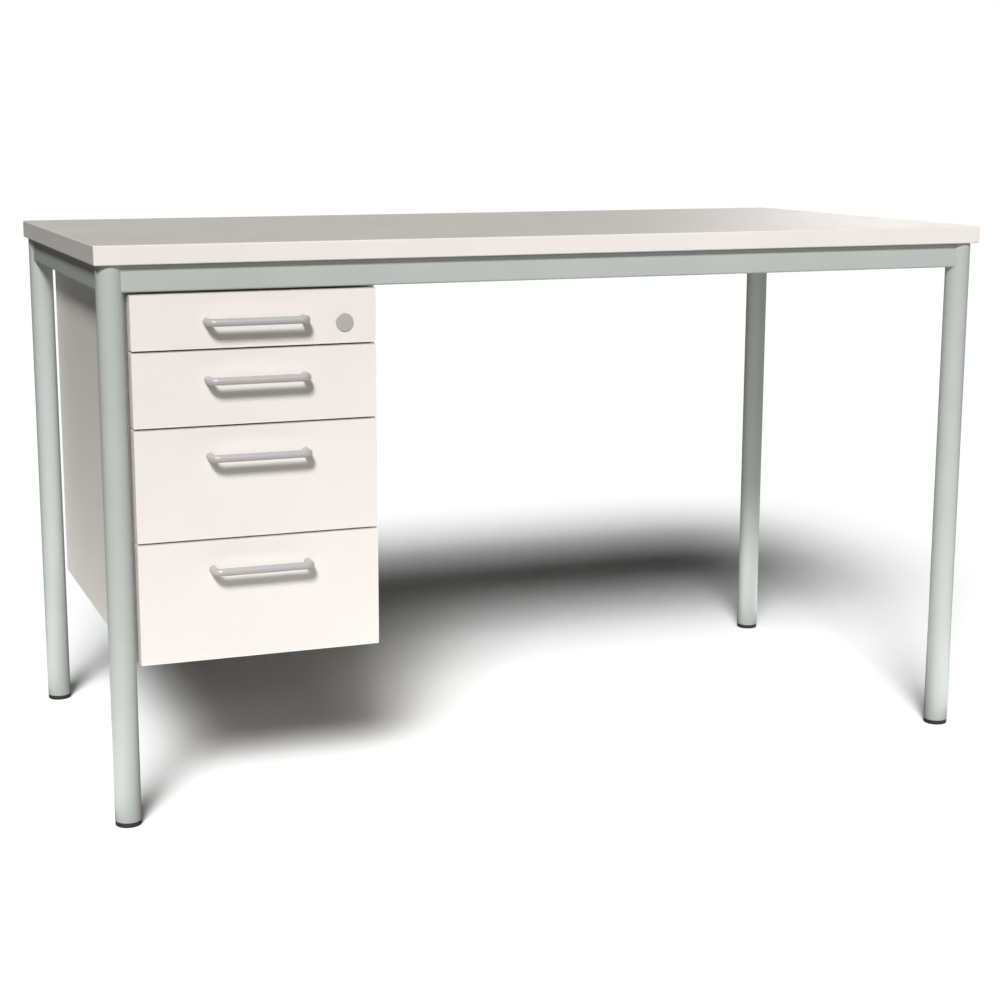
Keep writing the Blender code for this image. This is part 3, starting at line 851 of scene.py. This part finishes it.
# ---------------------------------------------------------------------- lock
lo, hi = B("lock_housing")
R = (hi.x - lo.x) / 2
L = hi.y - lo.y
fl = 0.0016
bore = 0.0059
barrel = 0.0092
prof = [(bore, -0.0001), (bore + 0.0001, 0.0), (R - 0.0007, 0.0)]
prof += [(R - 0.0007 + 0.0007 * math.sin(math.radians(a)), -0.0007 + 0.0007 * math.cos(math.radians(a)))
         for a in (20, 40, 60, 75, 90)]
prof += [(R, -fl), (barrel, -fl)]
zz = -fl - 0.001
while zz > -L + 0.0012:
    prof += [(barrel, zz), (barrel - 0.0004, zz - 0.0004)]
    zz -= 0.0008
prof += [(barrel - 0.0003, -L), (bore, -L)]
finish_mesh("lock_housing", lathe(prof, (LOCK.x, lo.y, LOCK.z), "Y", 72, closed=True), NICKEL, "drawer_1",
            "lock_housing", angle=35)

lo, hi = B("lock_plug")
R, L = (hi.x - lo.x) / 2, hi.y - lo.y
plug = lathe([(0, 0.0), (R - 0.0001, 0.0), (R, -0.0001), (R, -L), (0, -L)], (LOCK.x, lo.y, LOCK.z), "Y", 72)
slot_cut = prism(rect_loop(LOCK.x - 0.0006, LOCK.x + 0.0006, LOCK.z - 0.0031, LOCK.z + 0.0031, 0.0003, 3), "XZ",
                 lo.y - 0.002, lo.y + 0.009, 0)
plug = boolean(plug, [slot_cut])
# the keyway's dust shutter, closed when no key is in
merge(plug, rbox((LOCK.x - 0.00056, lo.y + 0.00008, LOCK.z - 0.00306), (LOCK.x + 0.00056, lo.y + 0.0006, LOCK.z + 0.00306), 0.0001, 1))
finish_mesh("lock_plug", plug, NICKEL, "lock_cylinder", "lock_plug", angle=35)

lo, hi = B("lock_nut")
rr = 0.011 / math.cos(math.pi / 6)
hexa = [(LOCK.x + rr * math.cos(math.radians(60 * i)), LOCK.z + rr * math.sin(math.radians(60 * i))) for i in range(6)]
if hi.x - lo.x < hi.z - lo.z:
    hexa = [(LOCK.x + rr * math.cos(math.radians(60 * i + 30)), LOCK.z + rr * math.sin(math.radians(60 * i + 30))) for i in range(6)]
nut = prism(fillet(hexa, 0.0006, 2), "XZ", lo.y, hi.y, 0.0004)
nut = boolean(nut, [lathe([(0, 0.01), (0.0095, 0.01), (0.0095, -0.02), (0, -0.02)], (LOCK.x, lo.y, LOCK.z), "Y", 48)])
finish_mesh("lock_nut", nut, ZINC, "drawer_1", "lock_nut", angle=30)

lo, hi = B("lock_cam")
cam_out = arc(LOCK.x, LOCK.z, 0.0080, -90, 90, 14) + arc(LOCK.x - 0.0205, LOCK.z, 0.0055, 90, 270, 12)
cam = prism(cam_out, "XZ", lo.y, hi.y, 0.0003)
merge(cam, rbox((LOCK.x - 0.0028, hi.y - 0.0004, LOCK.z - 0.0028), (LOCK.x + 0.0028, hi.y - 0.00001, LOCK.z + 0.0028), 0.0001, 1))
finish_mesh("lock_cam", cam, ZINC, "lock_cylinder", "lock_cam", angle=30)

# --------------------------------------------------------------------- stage
lo, hi = Vector(CAD_BOX[0]), Vector(CAD_BOX[1])
me = bpy.data.meshes.new("floor")
S = 30.0
me.from_pydata([(-S, -S, 0), (S, -S, 0), (S, S, 0), (-S, S, 0)], [], [(0, 1, 2, 3)])
floor = bpy.data.objects.new("floor", me)
scene.collection.objects.link(floor)
fm = Look("floor_pale", Roughness=0.9)
fm.b.inputs["Base Color"].default_value = (0.86, 0.86, 0.86, 1)
fm.b.inputs["Specular IOR Level"].default_value = 0.0
me.materials.append(fm.m)

floor.visible_diffuse = False        # its bounce comes from the soft lights just above it
floor.visible_glossy = False
floor.visible_shadow = False

desk_set = bpy.data.collections.new("lit_desk")
floor_set = bpy.data.collections.new("lit_floor")
for o in scene.objects:
    if o.type == "MESH":
        (floor_set if o is floor else desk_set).objects.link(o)


def lamp(name, data, onto):
    o = bpy.data.objects.new(name, data)
    scene.collection.objects.link(o)
    o.light_linking.receiver_collection = onto
    return o


def sun(name, towards, strength, angle, onto, colour=(1, 1, 1)):
    l = bpy.data.lights.new(name, "SUN")
    l.energy, l.angle, l.color = strength, math.radians(angle), colour
    o = lamp(name, l, onto)
    d = Vector(towards).normalized()
    o.location = d * 5
    o.rotation_mode = "QUATERNION"
    o.rotation_quaternion = (-d).to_track_quat("-Z", "Y")
    o.visible_glossy = angle < 30
    return o


def bounce(name, where, size, power):
    """A soft patch just above the pale floor, shining up at the desk."""
    l = bpy.data.lights.new(name, "AREA")
    l.shape, l.size, l.size_y, l.energy = "RECTANGLE", size[0], size[1], power
    o = lamp(name, l, desk_set)
    o.location = (where[0], where[1], 0.003)
    o.rotation_euler = (math.pi, 0, 0)
    o.visible_camera = False
    return o


# large softbox at the upper left, in front of the desk, with soft fills
sun("key", (-0.330, -0.705, 0.620), 3.44, 11, desk_set)
sun("front_fill", (-0.1, -1.0, 0.1), 0.42, 50, desk_set)
sun("right_fill", (1.0, -0.15, 0.05), 0.45, 60, desk_set)
sun("back_fill", (0.3, 1.0, 0.10), 1.10, 60, desk_set)
bounce("bounce_front", (-0.40, -0.65), (1.2, 0.5), 1.50)
bounce("bounce_left", (-0.85, 0.0), (0.35, 1.0), 1.90)
bounce("bounce_right", (0.95, -0.45), (0.5, 0.5), 1.40)
bounce("bounce_right_back", (0.90, 0.30), (0.4, 0.4), 1.50)
bounce("bounce_centre", (0.40, -0.60), (0.9, 0.5), 2.00)
bounce("bounce_inner", (0.32, 0.10), (0.4, 0.5), 1.50)
# the same softbox as the floor sees it, wide enough for a broad soft shadow
sun("floor_key_a", (-0.405, -0.701, 0.588), 1.84, 14, floor_set)
sun("floor_key_b", (-0.303, -0.750, 0.588), 1.79, 14, floor_set)
sun("floor_key_c", (-0.260, -0.644, 0.719), 0.77, 14, floor_set)
sun("floor_key_d", (-0.498, -0.638, 0.588), 0.45, 14, floor_set)
sun("floor_key_e", (-0.428, -0.547, 0.719), 0.32, 14, floor_set)
sun("floor_key_f", (-0.168, -0.674, 0.719), 0.31, 14, floor_set)
sun("floor_key_g", (-0.347, -0.602, 0.719), 0.24, 14, floor_set)
sun("floor_key_h", (-0.196, -0.785, 0.588), 0.22, 14, floor_set)

# pale studio all round; what glossy faces mirror is darker straight behind the
# desk, with a broad white wall from the back right round to the right
world = bpy.data.worlds.new("studio")
scene.world = world
world.use_nodes = True
world.cycles.sampling_method = "NONE"
nt = world.node_tree
bg = nt.nodes["Background"]
bg.inputs["Color"].default_value = (1, 1, 1, 1)


def wnode(kind, ins=(), **props):
    n = nt.nodes.new(kind)
    for k, v in props.items():
        setattr(n, k, v)
    for i, v in ins:
        if hasattr(v, "links"):
            nt.links.new(v, n.inputs[i])
        else:
            n.inputs[i].default_value = v
    return n.outputs


def wmath(op, a, b=0.0):
    return wnode("ShaderNodeMath", ((0, a), (1, b)), operation=op)[0]


def wrange(v, f0, f1, t0, t1):
    return wnode("ShaderNodeMapRange", (("Value", v), ("From Min", f0), ("From Max", f1),
                                        ("To Min", t0), ("To Max", t1)))["Result"]


ray = nt.nodes.new("ShaderNodeLightPath").outputs
way = wnode("ShaderNodeSeparateXYZ", ((0, nt.nodes.new("ShaderNodeTexCoord").outputs["Generated"]),))
turn = wmath("ARCTAN2", way["X"], way["Y"])


def band(start, stop, value, soft=2.0):
    """Bright stretch of the room's walls between two headings, measured from straight behind the desk."""
    return wmath("MULTIPLY", wrange(turn, math.radians(start - soft), math.radians(start + soft), 0.0, value),
                 wrange(turn, math.radians(stop + soft), math.radians(stop - soft), 0.0, 1.0))


walls = wmath("ADD", wmath("ADD", band(28, 31, 1.70), band(31, 36, 3.00)),
              wmath("ADD", band(36, 110, 0.62), wmath("ADD", band(110, 178, 0.20), band(-178, -75, 0.10, 8.0))))
walls = wmath("MULTIPLY", walls, wmath("MULTIPLY", wrange(way["Z"], 0.5, 0.2, 0.0, 1.0),
                                       wrange(way["Z"], -0.15, 0.02, 0.0, 1.0)))
ceiling = wrange(way["Z"], 0.5, 0.8, 0.0, 0.25)
ground = wrange(way["Z"], -0.05, -0.35, 0.0, 0.16)
gloss = wmath("ADD", walls, wmath("ADD", ceiling, ground))
light = wmath("ADD", wmath("MULTIPLY", gloss, ray["Is Glossy Ray"]), wmath("MULTIPLY", 0.005, ray["Is Diffuse Ray"]))
nt.links.new(wmath("ADD", light, ray["Is Camera Ray"]), bg.inputs["Strength"])

# -------------------------------------------------------------------- camera
cam_data = bpy.data.cameras.new("camera")
cam_data.sensor_width = 36.0
cam_data.sensor_fit = "HORIZONTAL"
cam_data.lens = 1903.16 * 36.0 / 1000.0
cam_data.shift_x = (500.0 - 470.393) / 1000.0
cam_data.shift_y = -(500.0 - 495.205) / 1000.0
cam_data.clip_start, cam_data.clip_end = 0.05, 100.0
camera = bpy.data.objects.new("camera", cam_data)
camera.location = (-1.04051, -2.69882, 0.91769)
camera.rotation_euler = (math.pi / 2 - 0.1945376, 0.0, -0.3570413)
scene.collection.objects.link(camera)
scene.camera = camera

scene.view_settings.view_transform = "Standard"

bpy.context.view_layer.update()
